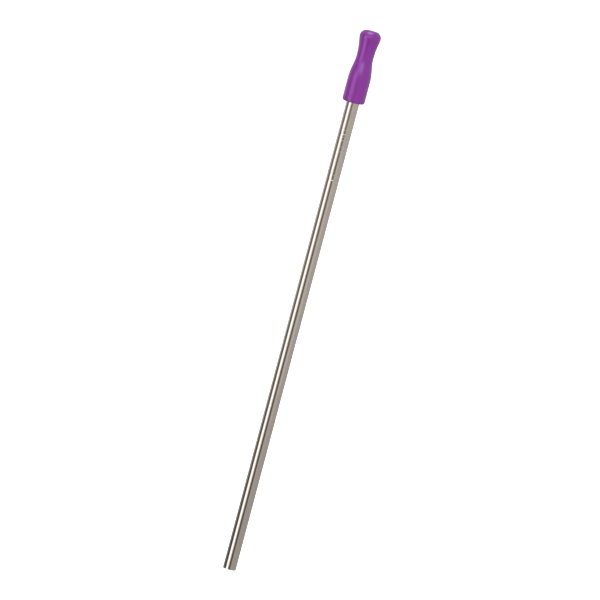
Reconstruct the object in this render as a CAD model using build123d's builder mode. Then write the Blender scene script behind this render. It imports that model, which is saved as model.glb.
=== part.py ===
"""A straight stainless steel drinking straw with a soft silicone mouthpiece pushed over its upper end.

Lengths are in millimetres. The straw stands along +Z, and its origin is the centre of the tube's lower end.
"""

from build123d import *
import os

os.makedirs("parts", exist_ok=True)

# ---------------------------------------------------------------- driving dimensions
overall_length = 266.7  # ten and a half inches, from the tube's lower end to the lip

tube_diameter = 6.35  # quarter-inch stock
tube_wall = 0.5
tube_length = 250.0
tube_edge_round = 0.15  # each sawn end is tumbled smooth, inside and out

tip_length = 35.0
cuff_diameter = 10.93  # the straight sleeve that grips the tube
cuff_length = 11.0
cuff_foot_round = 1.2
waist_diameter = 8.26  # the narrow place where the teeth and lips hold it
waist_depth = 12.95  # below the lip
bulb_diameter = 10.36  # the fullest place under the lip
bulb_depth = 3.0
lip_inner_round = 0.5  # between the channel and the lip's crest
mouth_diameter = 4.2  # the channel that the drink comes through

socket_clearance = 0.03  # radial, between the tube and the sleeve around it
socket_lead_in = 0.3
stop_gap = 0.05  # between the tube's end and the ledge inside the tip

# ---------------------------------------------------------------- worked out from them
tube_radius = tube_diameter / 2
bore_radius = tube_radius - tube_wall

lip_z = overall_length
rim_z = lip_z - tip_length
cuff_top_z = rim_z + cuff_length
waist_z = lip_z - waist_depth
bulb_z = lip_z - bulb_depth
stop_z = tube_length + stop_gap

cuff_radius = cuff_diameter / 2
waist_radius = waist_diameter / 2
bulb_radius = bulb_diameter / 2
mouth_radius = mouth_diameter / 2
socket_radius = tube_radius + socket_clearance

# The crown's dome and the round into the channel meet on the lip's crest.
crest_radius = mouth_radius + lip_inner_round
crown_side_handle = 0.5 * bulb_depth
crown_top_handle = 0.45 * (bulb_radius - crest_radius)

# The flare leans most at its middle. The neck leaves the waist slowly and turns sharply into the bulb.
flare_height = waist_z - cuff_top_z
flare_handle_at_cuff = 0.4 * flare_height
flare_handle_at_waist = 0.3 * flare_height
neck_height = bulb_z - waist_z
neck_handle_at_waist = 0.6 * neck_height
neck_handle_at_bulb = 0.19 * neck_height


# ---------------------------------------------------------------- the tube
with BuildPart() as straw_tube:
    with BuildSketch(Plane.XY):
        Circle(tube_radius)
        Circle(bore_radius, mode=Mode.SUBTRACT)
    extrude(amount=tube_length)
    fillet(straw_tube.edges().filter_by(GeomType.CIRCLE), radius=tube_edge_round)

straw_tube.part.label = "straw_tube"


# ---------------------------------------------------------------- the silicone mouthpiece
with BuildPart() as silicone_tip:
    # Half of the section, drawn in the XZ plane and turned about Z.
    with BuildSketch(Plane.XZ) as section:
        with BuildLine() as outline:
            foot = Line((socket_radius + socket_lead_in, rim_z), (cuff_radius - cuff_foot_round, rim_z))
            foot_round = RadiusArc(foot @ 1, (cuff_radius, rim_z + cuff_foot_round), -cuff_foot_round)
            cuff_side = Line(foot_round @ 1, (cuff_radius, cuff_top_z))
            flare = Bezier(
                cuff_side @ 1,
                (cuff_radius, cuff_top_z + flare_handle_at_cuff),
                (waist_radius, waist_z - flare_handle_at_waist),
                (waist_radius, waist_z),
            )
            neck = Bezier(
                flare @ 1,
                (waist_radius, waist_z + neck_handle_at_waist),
                (bulb_radius, bulb_z - neck_handle_at_bulb),
                (bulb_radius, bulb_z),
            )
            crown = Bezier(
                neck @ 1,
                (bulb_radius, bulb_z + crown_side_handle),
                (crest_radius + crown_top_handle, lip_z),
                (crest_radius, lip_z),
            )
            inner_lip = RadiusArc(crown @ 1, (mouth_radius, lip_z - lip_inner_round), -lip_inner_round)
            channel_side = Line(inner_lip @ 1, (mouth_radius, stop_z))
            ledge = Line(channel_side @ 1, (socket_radius, stop_z))
            socket_side = Line(ledge @ 1, (socket_radius, rim_z + socket_lead_in))
            Line(socket_side @ 1, foot @ 0)
        make_face()
    revolve(axis=Axis.Z)

silicone_tip.part.label = "silicone_tip"


# ---------------------------------------------------------------- written out
for piece in (straw_tube, silicone_tip):
    export_step(piece.part, f"parts/{piece.part.label}.step")
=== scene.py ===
"""A steel drinking straw with a moulded silicone mouthpiece, dressed for a product shot.

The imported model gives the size, the place and the motion of each piece. This script turns each piece again as a
fine surface of revolution, gives it a procedural finish, and sets the studio round it. Lengths in the classes are
in millimetres and angles in degrees. Blender's own units are metres.
"""

import logging
import math
from dataclasses import dataclass, field
from enum import Enum
from typing import Protocol

import bpy
import numpy as np
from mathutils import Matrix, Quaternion, Vector


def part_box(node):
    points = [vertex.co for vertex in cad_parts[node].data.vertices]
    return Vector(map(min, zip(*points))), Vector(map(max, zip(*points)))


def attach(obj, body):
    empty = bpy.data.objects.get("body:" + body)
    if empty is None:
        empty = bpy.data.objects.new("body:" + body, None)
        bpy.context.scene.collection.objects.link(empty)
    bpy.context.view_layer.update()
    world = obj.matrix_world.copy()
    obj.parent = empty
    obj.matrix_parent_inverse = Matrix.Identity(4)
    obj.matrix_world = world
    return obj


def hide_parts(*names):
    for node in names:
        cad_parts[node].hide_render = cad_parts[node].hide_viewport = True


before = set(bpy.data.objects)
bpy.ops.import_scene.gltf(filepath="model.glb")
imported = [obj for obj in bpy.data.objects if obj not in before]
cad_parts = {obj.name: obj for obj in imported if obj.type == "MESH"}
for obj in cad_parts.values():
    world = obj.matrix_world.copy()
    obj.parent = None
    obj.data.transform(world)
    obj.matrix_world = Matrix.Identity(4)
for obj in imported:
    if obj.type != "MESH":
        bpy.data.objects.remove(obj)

MM = 0.001

# A noise texture's values lie round a half, and nearly all of them are between these two.
NOISE_LOW = 0.3
NOISE_HIGH = 0.7
# The narrowest fade that a card's edge can have, as a share of the card.
SHARP_EDGE = 1e-4
# The room in millimetres between the tube's end and the ledge inside the mouthpiece.
STOP_GAP = 0.05

log = logging.getLogger("straw")


class Body(Enum):
    """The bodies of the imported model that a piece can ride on."""

    STRAW = "straw"
    MOUTHPIECE = "mouthpiece"


class Node(Enum):
    """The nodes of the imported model."""

    TUBE = "straw_tube"
    TIP = "silicone_tip"


class Slot(Enum):
    """The record's material slots."""

    STEEL = "drawn_steel"
    SILICONE = "purple_silicone"


# ---------------------------------------------------------------- colours and nodes


def linear(colour: str) -> tuple[float, float, float, float]:
    """Turns an sRGB hex colour into the linear one that shaders read.

    Each channel c becomes c / 12.92 below 0.04045, and ((c + 0.055) / 1.055) to the power 2.4 above it.

    Args:
        colour: Six hex digits with a leading #.

    Returns:
        Linear red, green and blue with an alpha of one.
    """
    channels = np.array([int(colour[i : i + 2], 16) for i in (1, 3, 5)]) / 255
    low = channels / 12.92
    high = ((channels + 0.055) / 1.055) ** 2.4
    red, green, blue = np.where(channels <= 0.04045, low, high)
    return float(red), float(green), float(blue), 1.0


def add_node(tree: bpy.types.NodeTree, kind: str, settings: dict | None = None, inputs: dict | None = None,
             ) -> bpy.types.Node:
    """Adds a node with its settings and whatever feeds it.

    Args:
        tree: The node tree that gets the node.
        kind: The node's type name.
        settings: Attribute names and their values.
        inputs: Input names or numbers, each with a plain value or the output socket that is linked to it.

    Returns:
        The new node.
    """
    node = tree.nodes.new(kind)
    for name, value in (settings or {}).items():
        setattr(node, name, value)
    for name, value in (inputs or {}).items():
        if isinstance(value, bpy.types.NodeSocket):
            tree.links.new(value, node.inputs[name])
        else:
            node.inputs[name].default_value = value
    return node


def empty_material(name: str) -> tuple[bpy.types.Material, bpy.types.NodeTree]:
    """Makes a material with no nodes in it.

    Args:
        name: The material's name.

    Returns:
        The material and its node tree.
    """
    material = bpy.data.materials.new(name)
    material.use_nodes = True
    material.node_tree.nodes.clear()
    return material, material.node_tree


# ---------------------------------------------------------------- finishes


class Finish(Protocol):
    """What a piece can be dressed in."""

    def material(self) -> bpy.types.Material:
        """Builds the finish's material."""


@dataclass(frozen=True)
class DrawnStainless:
    """Stainless steel tube, drawn through a die and buffed.

    The eye gets hard, straight reflections along the tube, each softened a little across it by long draw lines,
    over a slightly warm grey metal.
    """

    name: str = "drawn_buffed_stainless_steel"
    colour: str = "#CFCAC4"
    roughness: float = 0.13
    roughness_swing: float = 0.05
    # Real draw lines are a few hundredths of a millimetre apart. They are drawn this coarse so that they show.
    line_pitch: float = 0.12
    line_length: float = 60.0
    line_depth: float = 0.0006
    line_detail: float = 3.0
    line_raggedness: float = 0.6
    cloud_size: float = 14.0

    def material(self) -> bpy.types.Material:
        """Builds the material.

        Noise squeezed across the axis and stretched along it gives the draw lines. It moves the roughness and a
        shallow bump. A second, large noise clouds the buffing.

        Returns:
            The finished material.
        """
        material, tree = empty_material(self.name)
        place = add_node(tree, "ShaderNodeTexCoord")
        across = 1 / (self.line_pitch * MM)
        along = 1 / (self.line_length * MM)
        stretched = add_node(tree, "ShaderNodeMapping", inputs={
            "Vector": place.outputs["Object"],
            "Scale": (across, across, along),
        })
        lines = add_node(tree, "ShaderNodeTexNoise", inputs={
            "Vector": stretched.outputs["Vector"],
            "Scale": 1.0,
            "Detail": self.line_detail,
            "Roughness": self.line_raggedness,
        })
        clouds = add_node(tree, "ShaderNodeTexNoise", inputs={
            "Vector": place.outputs["Object"],
            "Scale": 1 / (self.cloud_size * MM),
            "Detail": 2.0,
        })
        both = add_node(tree, "ShaderNodeMath", {"operation": "ADD"}, {
            0: lines.outputs["Fac"],
            1: clouds.outputs["Fac"],
        })
        roughness = add_node(tree, "ShaderNodeMapRange", inputs={
            "Value": both.outputs["Value"],
            "From Min": 2 * NOISE_LOW,
            "From Max": 2 * NOISE_HIGH,
            "To Min": self.roughness - self.roughness_swing,
            "To Max": self.roughness + self.roughness_swing,
        })
        bump = add_node(tree, "ShaderNodeBump", inputs={
            "Height": lines.outputs["Fac"],
            "Distance": self.line_depth * MM,
            "Strength": 1.0,
        })
        shader = add_node(tree, "ShaderNodeBsdfPrincipled", inputs={
            "Base Color": linear(self.colour),
            "Metallic": 1.0,
            "Roughness": roughness.outputs["Result"],
            "Normal": bump.outputs["Normal"],
        })
        add_node(tree, "ShaderNodeOutputMaterial", inputs={"Surface": shader.outputs["BSDF"]})
        return material


@dataclass(frozen=True)
class AsDrawnBore:
    """The inside of the tube, which no buffing wheel reaches.

    The eye gets a dull grey metal with coarser lengthwise lines.
    """

    name: str = "as_drawn_stainless_bore"
    colour: str = "#A8A49E"
    roughness: float = 0.38
    roughness_swing: float = 0.08
    line_pitch: float = 0.3
    line_length: float = 40.0

    def material(self) -> bpy.types.Material:
        """Builds the material from lengthwise noise that swings the roughness.

        Returns:
            The finished material.
        """
        material, tree = empty_material(self.name)
        place = add_node(tree, "ShaderNodeTexCoord")
        across = 1 / (self.line_pitch * MM)
        along = 1 / (self.line_length * MM)
        stretched = add_node(tree, "ShaderNodeMapping", inputs={
            "Vector": place.outputs["Object"],
            "Scale": (across, across, along),
        })
        lines = add_node(tree, "ShaderNodeTexNoise", inputs={
            "Vector": stretched.outputs["Vector"],
            "Scale": 1.0,
            "Detail": 2.0,
        })
        roughness = add_node(tree, "ShaderNodeMapRange", inputs={
            "Value": lines.outputs["Fac"],
            "From Min": NOISE_LOW,
            "From Max": NOISE_HIGH,
            "To Min": self.roughness - self.roughness_swing,
            "To Max": self.roughness + self.roughness_swing,
        })
        shader = add_node(tree, "ShaderNodeBsdfPrincipled", inputs={
            "Base Color": linear(self.colour),
            "Metallic": 1.0,
            "Roughness": roughness.outputs["Result"],
        })
        add_node(tree, "ShaderNodeOutputMaterial", inputs={"Surface": shader.outputs["BSDF"]})
        return material


@dataclass(frozen=True)
class MouldedSilicone:
    """Pigmented food-grade silicone from a fine-blasted mould.

    The eye gets a deep, even purple with a satin skin: broad soft highlights with no sharp edge, a faint grain, and
    a little light that travels under the skin.
    """

    name: str = "moulded_satin_silicone"
    colour: str = "#A43CBA"
    deep_colour: str = "#A039B6"
    roughness: float = 0.17
    roughness_swing: float = 0.03
    # A fine-blasted mould leaves a grain of about a tenth of a millimetre, drawn twice as coarse so that it shows.
    grain: float = 0.22
    grain_depth: float = 0.0012
    grain_detail: float = 3.0
    grain_raggedness: float = 0.55
    mottle: float = 3.5
    mottle_span: tuple[float, float] = (0.35, 0.65)
    ior: float = 1.41
    skin_gloss: float = 0.85
    gloss_tint: str = "#E2E2FF"
    # The bloom is the faint powdery sheen of silicone, and the glow is the light that travels under its skin.
    bloom: float = 0.1
    bloom_roughness: float = 0.5
    glow: float = 0.12
    glow_depth: float = 0.9
    glow_reach: tuple[float, float, float] = (1.0, 0.35, 1.0)

    def material(self) -> bpy.types.Material:
        """Builds the material.

        A fine noise is the blasted mould's grain: it swings the roughness and lifts a shallow bump. A large, weak
        noise mottles the pigment.

        Returns:
            The finished material.
        """
        material, tree = empty_material(self.name)
        place = add_node(tree, "ShaderNodeTexCoord")
        grain = add_node(tree, "ShaderNodeTexNoise", inputs={
            "Vector": place.outputs["Object"],
            "Scale": 1 / (self.grain * MM),
            "Detail": self.grain_detail,
            "Roughness": self.grain_raggedness,
        })
        mottle = add_node(tree, "ShaderNodeTexNoise", inputs={
            "Vector": place.outputs["Object"],
            "Scale": 1 / (self.mottle * MM),
            "Detail": 2.0,
        })
        share = add_node(tree, "ShaderNodeMapRange", inputs={
            "Value": mottle.outputs["Fac"],
            "From Min": self.mottle_span[0],
            "From Max": self.mottle_span[1],
        })
        # Inputs 6 and 7 of a Mix node are its two colours, and output 2 is the colour that comes out.
        pigment = add_node(tree, "ShaderNodeMix", {"data_type": "RGBA"}, {
            "Factor": share.outputs["Result"],
            6: linear(self.deep_colour),
            7: linear(self.colour),
        })
        roughness = add_node(tree, "ShaderNodeMapRange", inputs={
            "Value": grain.outputs["Fac"],
            "From Min": NOISE_LOW,
            "From Max": NOISE_HIGH,
            "To Min": self.roughness - self.roughness_swing,
            "To Max": self.roughness + self.roughness_swing,
        })
        bump = add_node(tree, "ShaderNodeBump", inputs={
            "Height": grain.outputs["Fac"],
            "Distance": self.grain_depth * MM,
            "Strength": 1.0,
        })
        shader = add_node(tree, "ShaderNodeBsdfPrincipled", inputs={
            "Base Color": pigment.outputs[2],
            "Roughness": roughness.outputs["Result"],
            "IOR": self.ior,
            "Specular IOR Level": self.skin_gloss,
            "Specular Tint": linear(self.gloss_tint),
            "Sheen Weight": self.bloom,
            "Sheen Roughness": self.bloom_roughness,
            "Subsurface Weight": self.glow,
            "Subsurface Radius": self.glow_reach,
            "Subsurface Scale": self.glow_depth * MM,
            "Normal": bump.outputs["Normal"],
        })
        add_node(tree, "ShaderNodeOutputMaterial", inputs={"Surface": shader.outputs["BSDF"]})
        return material


# ---------------------------------------------------------------- turned surfaces


def arc(centre: tuple[float, float], radius: float, start: float, stop: float, count: int) -> np.ndarray:
    """Points on a circle: the centre plus the radius times the cosine and the sine of an evenly stepped angle.

    Args:
        centre: The centre's distance from the axis and its height.
        radius: The circle's radius.
        start: The first angle in degrees, from outwards towards up.
        stop: The last angle in degrees.
        count: How many points.

    Returns:
        An array of (distance from the axis, height) rows.
    """
    angle = np.radians(np.linspace(start, stop, count))
    return np.stack([centre[0] + radius * np.cos(angle), centre[1] + radius * np.sin(angle)], axis=1)


def straight(start: tuple[float, float], stop: tuple[float, float], count: int) -> np.ndarray:
    """Points evenly spaced from one end of a line to the other, both ends left out.

    Args:
        start: The end that comes first, as (distance from the axis, height).
        stop: The other end.
        count: How many points.

    Returns:
        An array of (distance from the axis, height) rows.
    """
    share = np.linspace(0, 1, count + 2)[1:-1, None]
    return np.array(start) * (1 - share) + np.array(stop) * share


def bezier(start: tuple[float, float], leaving: tuple[float, float], arriving: tuple[float, float],
           stop: tuple[float, float], count: int) -> np.ndarray:
    """Points on a cubic Bezier curve.

    The ends and their two handles, weighted by the cubic Bernstein polynomials of an evenly stepped share, add up to
    each point.

    Args:
        start: The first end, as (distance from the axis, height).
        leaving: The first handle, measured from the first end.
        arriving: The second handle, measured from the second end.
        stop: The second end.
        count: How many points, both ends among them.

    Returns:
        An array of (distance from the axis, height) rows.
    """
    first, last = np.array(start), np.array(stop)
    corners = np.stack([first, first + np.array(leaving), last + np.array(arriving), last])
    share = np.linspace(0, 1, count)
    rest = 1 - share
    weights = np.stack([rest**3, 3 * rest**2 * share, 3 * rest * share**2, share**3], axis=1)
    return weights @ corners


def turned_mesh(name: str, radius: np.ndarray, height: np.ndarray, slots: np.ndarray) -> bpy.types.Mesh:
    """Carries a closed profile round the axis.

    The point of row j at step i stands at (r cos a, r sin a, h), where a is i steps of a full turn. Row j and the
    next row are joined by a band of four-sided faces, and the last row is joined to the first, so the surface is
    closed and has no poles. The profile runs up its outer side, which turns every face outwards.

    Args:
        name: The mesh's name.
        radius: Distance from the axis in millimetres, one row for each profile point and one column for each step.
        height: Height in millimetres of each profile point.
        slots: The material slot of the band above each profile point.

    Returns:
        The mesh, in metres, smooth, with a UV map of turns and metres along the profile.
    """
    rows, steps = radius.shape
    angle = np.arange(steps) * 2 * math.pi / steps
    across = np.stack([radius * np.cos(angle), radius * np.sin(angle)], axis=2)
    points = np.concatenate([across, np.broadcast_to(height[:, None, None], (rows, steps, 1))], axis=2) * MM

    row = np.arange(rows)[:, None]
    step = np.arange(steps)[None, :]
    next_row = (row + 1) % rows
    next_step = (step + 1) % steps
    corners = [row * steps + step, row * steps + next_step, next_row * steps + next_step, next_row * steps + step]
    faces = np.stack(corners, axis=2).reshape(-1, 4)

    run = np.hypot(np.diff(radius[:, 0], append=radius[:1, 0]), np.diff(height, append=height[:1])) * MM
    travelled = np.concatenate([[0.0], np.cumsum(run)])
    turns = np.arange(steps + 1) / steps
    u = np.stack([turns[:-1], turns[1:], turns[1:], turns[:-1]], axis=1)
    v = np.stack([travelled[:-1], travelled[:-1], travelled[1:], travelled[1:]], axis=1)
    uv = np.stack([
        np.broadcast_to(u[None], (rows, steps, 4)),
        np.broadcast_to(v[:, None], (rows, steps, 4)),
    ], axis=3)

    mesh = bpy.data.meshes.new(name)
    mesh.vertices.add(rows * steps)
    mesh.vertices.foreach_set("co", points.astype(np.float32).ravel())
    mesh.loops.add(faces.size)
    mesh.loops.foreach_set("vertex_index", faces.astype(np.int32).ravel())
    mesh.polygons.add(len(faces))
    mesh.polygons.foreach_set("loop_start", np.arange(0, faces.size, 4, dtype=np.int32))
    mesh.polygons.foreach_set("material_index", np.repeat(slots, steps).astype(np.int32))
    mesh.update(calc_edges=True)
    mesh.uv_layers.new(name="turns").uv.foreach_set("vector", uv.astype(np.float32).ravel())
    mesh.shade_smooth()
    mesh.validate()
    return mesh


def shown(mesh: bpy.types.Mesh, finishes: list[Finish], body: Body, node: Node) -> bpy.types.Object:
    """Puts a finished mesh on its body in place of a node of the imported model.

    Args:
        mesh: The mesh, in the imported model's frame.
        finishes: The finish of each material slot.
        body: The body that the piece rides on.
        node: The node that it stands for.

    Returns:
        The new object.
    """
    for finish in finishes:
        mesh.materials.append(finish.material())
    piece = bpy.data.objects.new(mesh.name, mesh)
    bpy.context.scene.collection.objects.link(piece)
    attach(piece, body.value)
    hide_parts(node.value)
    return piece


# ---------------------------------------------------------------- the straw's tube


@dataclass
class SteelTube:
    """The steel tube: a drawn wall with tumbled ends and a few turned score rings under the mouthpiece.

    The rings' depths are measured down from the height that they lie below, and their cuts into the wall. Steps go
    round the tube, and rows go along its profile.
    """

    radius: float
    length: float
    wall: float = 0.5
    edge_round: float = 0.15
    rings_below: float = 0.0
    ring_depths: tuple[float, ...] = (13.2, 15.4, 16.8, 18.2, 21.4, 23.8, 35.3, 37.9)
    ring_cuts: tuple[float, ...] = (0.03, 0.06, 0.035, 0.045, 0.035, 0.035, 0.045, 0.08)
    ring_width: float = 0.38
    ring_rows: int = 13
    steps: int = 192
    wall_rows: int = 60
    bore_rows: int = 24
    edge_rows: int = 7
    finish: DrawnStainless = field(default_factory=DrawnStainless)
    bore_finish: AsDrawnBore = field(default_factory=AsDrawnBore)

    def profile(self) -> tuple[np.ndarray, np.ndarray]:
        """Draws half of the tube's section, up the outside and down the inside.

        Returns:
            The (distance from the axis, height) rows, and the slot of the band above each: 0 outside, 1 in the bore.
        """
        bore = self.radius - self.wall
        e = self.edge_round
        # Rows lie closer together within two widths of each ring.
        near_rings = self.ring_heights()[:, None] + np.linspace(-2, 2, self.ring_rows) * self.ring_width
        plain = np.linspace(e, self.length - e, self.wall_rows + 2)[1:-1]
        heights = np.unique(np.concatenate([plain, near_rings.ravel()]))
        outside = np.stack([np.full(len(heights), self.radius), heights], axis=1)
        outer = [
            arc((self.radius - e, e), e, -90, 0, self.edge_rows),
            outside,
            arc((self.radius - e, self.length - e), e, 0, 90, self.edge_rows),
            arc((bore + e, self.length - e), e, 90, 180, self.edge_rows),
        ]
        inner = [
            straight((bore, self.length - e), (bore, e), self.bore_rows),
            arc((bore + e, e), e, 180, 270, self.edge_rows),
        ]
        rows = np.concatenate(outer + inner)
        slots = np.zeros(len(rows), int)
        first_inside = sum(len(part) for part in outer) - 1
        slots[first_inside : first_inside + len(inner[0]) + 1] = 1
        return rows, slots

    def ring_heights(self) -> np.ndarray:
        """The score rings' heights, worked down from the height that they lie below."""
        return self.rings_below - np.array(self.ring_depths)

    def build(self) -> bpy.types.Object:
        """Turns the tube and cuts its rings.

        A ring is a bell-shaped dip: its cut times e to the minus square of the distance over half the width.

        Returns:
            The finished piece.
        """
        rows, slots = self.profile()
        away = (rows[:, 1:] - self.ring_heights()) / (self.ring_width / 2)
        dip = np.exp(-(away**2)) @ np.array(self.ring_cuts)
        outside = rows[:, 0] > self.radius - self.edge_round
        radius = rows[:, 0] - np.where(outside, dip, 0.0)
        radius = np.repeat(radius[:, None], self.steps, axis=1)
        mesh = turned_mesh("steel_tube", radius, rows[:, 1], slots)
        return shown(mesh, [self.finish, self.bore_finish], Body.STRAW, Node.TUBE)


# ---------------------------------------------------------------- the mouthpiece


@dataclass
class SiliconeMouthpiece:
    """The mouthpiece: a cuff over the tube, a waist, a bulb with a rolled lip, and the socket and channel inside."""

    foot: float
    lip: float
    cuff_radius: float
    socket_top: float
    cuff_length: float = 11.0
    foot_round: float = 1.2
    waist_radius: float = 4.13
    waist_depth: float = 12.95
    bulb_radius: float = 5.18
    bulb_depth: float = 3.0
    inner_lip_round: float = 0.5
    channel_radius: float = 2.1
    socket_radius: float = 3.205
    lead_in: float = 0.3
    flare_handles: tuple[float, float] = (0.4, 0.3)
    neck_handles: tuple[float, float] = (0.6, 0.19)
    crown_handles: tuple[float, float] = (0.5, 0.45)
    parting_lift: float = 0.03
    parting_width: float = 0.3
    steps: int = 256
    foot_rows: int = 3
    foot_round_rows: int = 12
    cuff_rows: int = 14
    waist_rows: int = 30
    crown_rows: int = 26
    lip_rows: int = 9
    channel_rows: int = 8
    socket_rows: int = 10
    finish: MouldedSilicone = field(default_factory=MouldedSilicone)

    def profile(self) -> tuple[np.ndarray, int]:
        """Draws half of the mouthpiece's section, up the outside, over the lip and down the inside.

        The flare, the neck and the crown are Bezier curves. Their handles are shares of the height that each climbs,
        apart from the crown's second, which is a share of how far the crown closes in.

        Returns:
            The (distance from the axis, height) rows, and how many of them lie on the outside.
        """
        cuff_top = self.foot + self.cuff_length
        waist = self.lip - self.waist_depth
        bulb = self.lip - self.bulb_depth
        crest = self.channel_radius + self.inner_lip_round
        r = self.foot_round
        cuff_point = (self.cuff_radius, cuff_top)
        waist_point = (self.waist_radius, waist)
        bulb_point = (self.bulb_radius, bulb)
        flare_out, flare_in = np.array(self.flare_handles) * (waist - cuff_top)
        neck_out, neck_in = np.array(self.neck_handles) * (bulb - waist)
        crown_out = self.crown_handles[0] * self.bulb_depth
        crown_in = self.crown_handles[1] * (self.bulb_radius - crest)
        # The channel's rows start as far below the lip's round as the round is high.
        channel_top = self.lip - 2 * self.inner_lip_round
        lead_in_top = self.foot + self.lead_in
        outer = [
            straight((self.socket_radius + self.lead_in, self.foot), (self.cuff_radius - r, self.foot), self.foot_rows),
            arc((self.cuff_radius - r, self.foot + r), r, -90, 0, self.foot_round_rows),
            straight((self.cuff_radius, self.foot + r), cuff_point, self.cuff_rows),
            bezier(cuff_point, (0.0, flare_out), (0.0, -flare_in), waist_point, self.waist_rows)[:-1],
            bezier(waist_point, (0.0, neck_out), (0.0, -neck_in), bulb_point, self.waist_rows)[:-1],
            bezier(bulb_point, (0.0, crown_out), (crown_in, 0.0), (crest, self.lip), self.crown_rows),
        ]
        inner = [
            arc((crest, self.lip - self.inner_lip_round), self.inner_lip_round, 90, 180, self.lip_rows)[1:],
            straight((self.channel_radius, channel_top), (self.channel_radius, self.socket_top), self.channel_rows),
            np.array([(self.channel_radius, self.socket_top), (self.socket_radius, self.socket_top)]),
            straight((self.socket_radius, self.socket_top), (self.socket_radius, lead_in_top), self.socket_rows),
            np.array([(self.socket_radius, lead_in_top), (self.socket_radius + self.lead_in, self.foot)]),
        ]
        return np.concatenate(outer + inner), sum(len(part) for part in outer)

    def build(self) -> bpy.types.Object:
        """Turns the mouthpiece and raises its parting lines.

        The mould's two halves meet at the left and right, where each leaves a bell-shaped ridge: the lift times e to
        the minus square of the distance round the skin over half the width. The skin between them lies that much
        under the full size, which the ridges reach.

        Returns:
            The finished piece.
        """
        rows, outside = self.profile()
        angle = np.arange(self.steps) * 2 * math.pi / self.steps
        from_seam = np.abs(np.angle(np.exp(2j * angle))) / 2
        distance = rows[:, :1] * from_seam / (self.parting_width / 2)
        on_skin = (np.arange(len(rows)) < outside)[:, None]
        ridge = self.parting_lift * (np.exp(-(distance**2)) - 1) * on_skin
        mesh = turned_mesh("silicone_mouthpiece", rows[:, :1] + ridge, rows[:, 1], np.zeros(len(rows), int))
        return shown(mesh, [self.finish], Body.MOUTHPIECE, Node.TIP)


# ---------------------------------------------------------------- the studio


@dataclass(frozen=True)
class Card:
    """A softbox, wall or flag that lights the straw and is mirrored in it, and isn't seen itself.

    The feathers are the shares of the card over which its light fades to nothing at the sides, the foot and the
    top. Its glow goes from low to high between the two graded shares of its height. A card that is only mirrored
    gives no soft light. Each card is a single band of faces, with a column of points for every step across it.
    """

    name: str
    colour: str
    low_glow: float
    high_glow: float
    side_feather: float = 0.12
    foot_feather: float = 0.0
    top_feather: float = 0.05
    graded: tuple[float, float] = (0.0, 1.0)
    only_mirrored: bool = False
    columns: int = 49

    def shares(self) -> tuple[np.ndarray, np.ndarray]:
        """The shares across and up the card at which its grid has points."""
        return np.meshgrid(np.linspace(0, 1, self.columns), np.array([0.0, 1.0]))

    def place(self, across: np.ndarray, up: np.ndarray) -> np.ndarray:
        """Gives the millimetre position of each pair of shares, which each kind of card works out its own way."""
        raise NotImplementedError

    def build(self) -> bpy.types.Object:
        """Joins the card's grid of points with four-sided faces, and gives it its glow.

        Returns:
            The card.
        """
        across, up = self.shares()
        points = self.place(across, up).reshape(-1, 3) * MM
        foot = np.arange(self.columns - 1)
        top = foot + self.columns
        faces = np.stack([foot, top, top + 1, foot + 1], axis=1)
        mesh = bpy.data.meshes.new(self.name)
        mesh.from_pydata(points.tolist(), [], faces.tolist())
        corners = np.empty(len(mesh.loops), np.int32)
        mesh.loops.foreach_get("vertex_index", corners)
        uv = np.stack([across, up], axis=2).reshape(-1, 2)[corners]
        mesh.uv_layers.new(name="card").uv.foreach_set("vector", uv.astype(np.float32).ravel())
        mesh.materials.append(self.glow())
        card = bpy.data.objects.new(self.name, mesh)
        bpy.context.scene.collection.objects.link(card)
        card.visible_camera = False
        card.visible_shadow = False
        card.visible_diffuse = not self.only_mirrored
        return card

    def glow(self) -> bpy.types.Material:
        """Builds the card's light, even across and graded upwards, fading to nothing at its edges.

        Returns:
            The card's material.
        """
        material, tree = empty_material(self.name + "_glow")
        place = add_node(tree, "ShaderNodeUVMap", {"uv_map": "card"})
        parts = add_node(tree, "ShaderNodeSeparateXYZ", inputs={0: place.outputs["UV"]})
        # The distance from the nearer side, as a share of the card's width.
        side = add_node(tree, "ShaderNodeMath", {"operation": "PINGPONG"}, {0: parts.outputs["X"], 1: 0.5})
        fades = (
            (side.outputs["Value"], 0.0, max(self.side_feather, SHARP_EDGE)),
            (parts.outputs["Y"], 1.0, 1.0 - self.top_feather),
            (parts.outputs["Y"], -SHARP_EDGE, self.foot_feather),
        )
        side_fade, top_fade, foot_fade = (
            add_node(tree, "ShaderNodeMapRange", {"interpolation_type": "SMOOTHSTEP"}, {
                "Value": value,
                "From Min": edge,
                "From Max": full,
            }) for value, edge, full in fades)
        ends = add_node(tree, "ShaderNodeMath", {"operation": "MULTIPLY"}, {
            0: foot_fade.outputs["Result"],
            1: top_fade.outputs["Result"],
        })
        lit_share = add_node(tree, "ShaderNodeMath", {"operation": "MULTIPLY"}, {
            0: side_fade.outputs["Result"],
            1: ends.outputs["Value"],
        })
        strength = add_node(tree, "ShaderNodeMapRange", inputs={
            "Value": parts.outputs["Y"],
            "From Min": self.graded[0],
            "From Max": self.graded[1],
            "To Min": self.low_glow,
            "To Max": self.high_glow,
        })
        light = add_node(tree, "ShaderNodeEmission", inputs={
            "Color": linear(self.colour),
            "Strength": strength.outputs["Result"],
        })
        clear = add_node(tree, "ShaderNodeBsdfTransparent")
        card = add_node(tree, "ShaderNodeMixShader", inputs={
            0: lit_share.outputs["Value"],
            1: clear.outputs["BSDF"],
            2: light.outputs["Emission"],
        })
        add_node(tree, "ShaderNodeOutputMaterial", inputs={"Surface": card.outputs["Shader"]})
        return material


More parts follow.
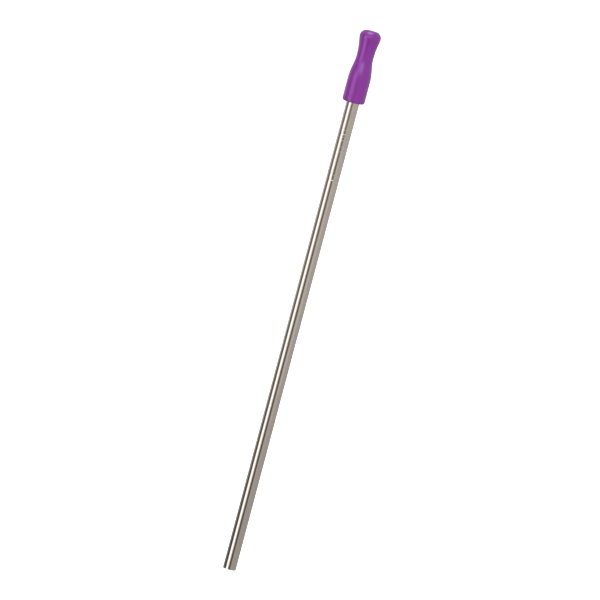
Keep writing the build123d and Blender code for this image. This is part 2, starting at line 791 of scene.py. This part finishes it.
@dataclass(frozen=True)
class StandingCard(Card):
    """A card that stands round the straw and curves with it.

    Its left and right sides are azimuths: 0 is the camera's side of the straw, and they grow towards the camera's
    right. Its bottom and top are heights, and its distance is measured from the straw's axis.
    """

    left: float = -180.0
    right: float = 180.0
    bottom: float = -1100.0
    top: float = 700.0
    distance: float = 800.0

    def place(self, across: np.ndarray, up: np.ndarray) -> np.ndarray:
        """Bends the card: azimuth a and height h stand at (d sin a, -d cos a, h), where d is its distance.

        Args:
            across: The share of the way from the left side to the right.
            up: The share of the way from the bottom to the top.

        Returns:
            The positions in millimetres.
        """
        azimuth = np.radians(self.left + (self.right - self.left) * across)
        height = self.bottom + (self.top - self.bottom) * up
        return np.stack([self.distance * np.sin(azimuth), -self.distance * np.cos(azimuth), height], axis=2)


@dataclass(frozen=True)
class CeilingCard(Card):
    """A level card that hangs over the straw."""

    left: float = -200.0
    right: float = 200.0
    front: float = -200.0
    back: float = 200.0
    height: float = 900.0

    def place(self, across: np.ndarray, up: np.ndarray) -> np.ndarray:
        """Lays the card flat at its height, evenly from left to right and from front to back.

        Args:
            across: The share of the way from the left side to the right.
            up: The share of the way from the front to the back.

        Returns:
            The positions in millimetres.
        """
        x = self.left + (self.right - self.left) * across
        y = self.front + (self.back - self.front) * up
        return np.stack([x, y, np.full_like(x, self.height)], axis=2)


@dataclass(frozen=True)
class FrontBank:
    """A large soft lamp that hangs in front of the straw and above it, and shines down on it along its aim."""

    name: str = "front_bank"
    power: float = 5.0
    width: float = 1600.0
    height: float = 1200.0
    position: tuple[float, float, float] = (0.0, -1400.0, 600.0)
    aim: tuple[float, float, float] = (0.0, 1400.0, -400.0)

    def build(self) -> bpy.types.Object:
        """Hangs the lamp.

        Returns:
            The lamp, which nothing mirrors.
        """
        lamp = bpy.data.lights.new(self.name, "AREA")
        lamp.shape = "RECTANGLE"
        lamp.size = self.width * MM
        lamp.size_y = self.height * MM
        lamp.energy = self.power
        bank = bpy.data.objects.new(self.name, lamp)
        bank.location = Vector(self.position) * MM
        bank.rotation_euler = Vector(self.aim).to_track_quat("-Z", "Y").to_euler()
        bank.visible_glossy = False
        bpy.context.scene.collection.objects.link(bank)
        return bank


def level_square(name: str, size: float, height: float) -> bpy.types.Mesh:
    """Makes a level square, centred on the straw's axis.

    Args:
        name: The mesh's name.
        size: The length of its sides in millimetres.
        height: Its height in millimetres.

    Returns:
        The mesh, in metres, facing up.
    """
    half = size / 2
    corners = np.array([(-half, -half, height), (half, -half, height), (half, half, height), (-half, half, height)])
    mesh = bpy.data.meshes.new(name)
    mesh.from_pydata((corners * MM).tolist(), [], [(0, 1, 2, 3)])
    return mesh


@dataclass(frozen=True)
class Studio:
    """A backlit white table under a white sky, with the cards that light the straw and are mirrored in it.

    The soft sky lights the straw from where no card stands, and the mirrored sky is what its gloss shows there.
    """

    table_size: float = 12000.0
    table_glow: float = 1.0
    table_colour: str = "#F2F2F2"
    table_roughness: float = 0.6
    underlay_drop: float = 2.0
    underlay_glow: float = 0.34
    soft_sky_glow: float = 0.46
    mirrored_sky_glow: float = 0.6
    white: str = "#FFFFFF"
    front_bank: FrontBank = FrontBank()
    cards: tuple[Card, ...] = (
        StandingCard("grey_room", "#DAD4CE", 0.69, 0.94, side_feather=0.0, distance=1000.0, graded=(0.53, 0.73)),
        StandingCard("white_wall_left", "#FFFFFF", 0.24, 0.66, left=-184, right=-104, distance=900.0,
                     graded=(0.52, 0.62)),
        StandingCard("black_flag_left", "#8C7F76", 0.18, 0.95, left=-106, right=-68, distance=860.0,
                     graded=(0.53, 0.73)),
        StandingCard("softbox_left", "#FFFCF8", 1.9, 1.9, left=-67, right=-23.5, top=450.0, side_feather=0.28,
                     top_feather=0.07),
        StandingCard("lens_flag", "#8C7D76", 0.36, 0.84, left=-17, right=13, top=230.0, distance=860.0,
                     side_feather=0.2, graded=(0.725, 0.985)),
        StandingCard("bounce_right", "#DAD4CE", 1.03, 1.03, left=4, right=68, bottom=-137.0, top=203.0,
                     side_feather=0.4, foot_feather=0.4, top_feather=0.4, distance=950.0),
        StandingCard("white_wall_right", "#FFFFFF", 0.2, 0.2, left=138, right=184, distance=900.0),
        StandingCard("softbox_above_lens", "#F4F2FF", 3.3, 3.3, left=-50, right=28, bottom=368.0, top=590.0,
                     side_feather=0.3, foot_feather=0.5, top_feather=0.15, only_mirrored=True),
        StandingCard("rear_softbox", "#FFFFFF", 1.5, 1.5, left=166, right=194, top=240.0, distance=860.0,
                     side_feather=0.3),
        CeilingCard("overhead_softbox", "#F4F2FF", 4.2, 4.2, left=-420.0, right=230.0, front=-420.0, back=240.0,
                    height=862.0, side_feather=0.25, foot_feather=0.25, top_feather=0.25, only_mirrored=True),
    )

    def build(self) -> None:
        """Lays the table, hangs the cards and the lamp, lights the sky and keeps colours as they are."""
        self.table()
        self.underlay()
        for card in self.cards:
            card.build()
        self.sky()
        self.front_bank.build()
        settings = bpy.context.scene.view_settings
        settings.view_transform = "Standard"
        settings.look = "None"

    def table(self) -> bpy.types.Object:
        """Lays a backlit white acrylic table under the straw.

        Returns:
            The table, which the steel doesn't mirror.
        """
        mesh = level_square("white_table", self.table_size, 0.0)
        material, tree = empty_material("backlit_white_acrylic")
        shader = add_node(tree, "ShaderNodeBsdfPrincipled", inputs={
            "Base Color": linear(self.table_colour),
            "Roughness": self.table_roughness,
            "Emission Color": linear(self.white),
            "Emission Strength": self.table_glow,
        })
        # The table is clear from underneath, so that the straw's lower end can be looked at.
        face = add_node(tree, "ShaderNodeNewGeometry")
        clear = add_node(tree, "ShaderNodeBsdfTransparent")
        top_only = add_node(tree, "ShaderNodeMixShader", inputs={
            0: face.outputs["Backfacing"],
            1: shader.outputs["BSDF"],
            2: clear.outputs["BSDF"],
        })
        add_node(tree, "ShaderNodeOutputMaterial", inputs={"Surface": top_only.outputs["Shader"]})
        mesh.materials.append(material)
        table = bpy.data.objects.new("white_table", mesh)
        bpy.context.scene.collection.objects.link(table)
        table.visible_glossy = False
        table.visible_diffuse = False
        return table

    def underlay(self) -> bpy.types.Object:
        """Lays a dimly lit board under the table, which sends a little soft light up on the straw.

        Returns:
            The board, which isn't seen or mirrored.
        """
        mesh = level_square("grey_underlay", self.table_size, -self.underlay_drop)
        material, tree = empty_material("grey_board")
        light = add_node(tree, "ShaderNodeEmission", inputs={
            "Color": linear(self.white),
            "Strength": self.underlay_glow,
        })
        add_node(tree, "ShaderNodeOutputMaterial", inputs={"Surface": light.outputs["Emission"]})
        mesh.materials.append(material)
        board = bpy.data.objects.new("grey_underlay", mesh)
        bpy.context.scene.collection.objects.link(board)
        board.visible_camera = False
        board.visible_glossy = False
        board.visible_shadow = False
        return board

    def sky(self) -> None:
        """Gives the camera a pure white backdrop, the straw a soft white light and its gloss a sky to mirror."""
        world = bpy.data.worlds.new("studio")
        bpy.context.scene.world = world
        world.use_nodes = True
        tree = world.node_tree
        tree.nodes.clear()
        path = add_node(tree, "ShaderNodeLightPath")
        soft, mirrored, backdrop = (
            add_node(tree, "ShaderNodeBackground", inputs={"Color": linear(self.white), "Strength": strength})
            for strength in (self.soft_sky_glow, self.mirrored_sky_glow, 1.0))
        unseen = add_node(tree, "ShaderNodeMixShader", inputs={
            0: path.outputs["Is Glossy Ray"],
            1: soft.outputs["Background"],
            2: mirrored.outputs["Background"],
        })
        both = add_node(tree, "ShaderNodeMixShader", inputs={
            0: path.outputs["Is Camera Ray"],
            1: unseen.outputs["Shader"],
            2: backdrop.outputs["Background"],
        })
        add_node(tree, "ShaderNodeOutputWorld", inputs={"Surface": both.outputs["Shader"]})


@dataclass(frozen=True)
class ProductCamera:
    """A long lens that looks a little down on the straw, rolled so that the straw leans in the picture."""

    elevation: float = 7.0
    lean: float = 14.85
    distance: float = 2500.0
    filled: float = 0.9297
    off_centre: tuple[float, float] = (0.25, 0.12)
    sensor: float = 36.0
    nearest: float = 50.0
    farthest: float = 50000.0

    def build(self, length: float, lip_radius: float, foot_radius: float) -> bpy.types.Object:
        """Makes the camera.

        The straw's length in the picture is its height times the cosine of the elevation, plus what the rims of its
        two ends add. It fills the stated share of the picture. The near, upper half looks a little larger, so the
        aim is above the middle by the sine of the elevation times the length squared over four distances.

        Args:
            length: The straw's height.
            lip_radius: The radius of the lip's crest.
            foot_radius: The radius of the tube's lower end.

        Returns:
            The scene's camera.
        """
        tilt = math.radians(self.elevation)
        seen = length * math.cos(tilt) + (lip_radius + foot_radius) * math.sin(tilt)
        back = Vector((0.0, -math.cos(tilt), math.sin(tilt)))
        aim = length / 2 + math.sin(tilt) * length**2 / (4 * self.distance)
        optics = bpy.data.cameras.new("product_camera")
        optics.sensor_width = self.sensor
        optics.lens = self.sensor * self.distance * self.filled / seen
        optics.clip_start = self.nearest * MM
        optics.clip_end = self.farthest * MM
        camera = bpy.data.objects.new("product_camera", optics)
        camera.location = Vector((0.0, 0.0, aim * MM)) + back * self.distance * MM
        camera.rotation_mode = "QUATERNION"
        upright = (-back).to_track_quat("-Z", "Y")
        right = upright @ Vector((1.0, 0.0, 0.0))
        up = upright @ Vector((0.0, 1.0, 0.0))
        camera.location -= (right * self.off_centre[0] + up * self.off_centre[1]) * MM
        camera.rotation_quaternion = upright @ Quaternion((0.0, 0.0, 1.0), math.radians(self.lean))
        bpy.context.scene.collection.objects.link(camera)
        bpy.context.scene.camera = camera
        return camera


# ---------------------------------------------------------------- the whole shot


def main() -> None:
    """Builds the pieces, the camera and the studio in order, and logs each as it is built."""
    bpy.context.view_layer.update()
    tube_low, tube_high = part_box(Node.TUBE.value)
    tip_low, tip_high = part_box(Node.TIP.value)
    foot = tip_low.z / MM
    lip = tip_high.z / MM

    tube = SteelTube(radius=(tube_high.y - tube_low.y) / 2 / MM, length=tube_high.z / MM, rings_below=foot)
    log.info("built %s", tube.build().name)

    mouthpiece = SiliconeMouthpiece(
        foot=foot, lip=lip, cuff_radius=(tip_high.y - tip_low.y) / 2 / MM, socket_top=tube.length + STOP_GAP)
    log.info("built %s", mouthpiece.build().name)

    camera = ProductCamera().build(lip, mouthpiece.channel_radius + mouthpiece.inner_lip_round, tube.radius)
    log.info("built %s", camera.name)

    Studio().build()
    log.info("built the studio")


if __name__ == "__main__":
    logging.basicConfig(level=logging.INFO, format="%(message)s")
    main()
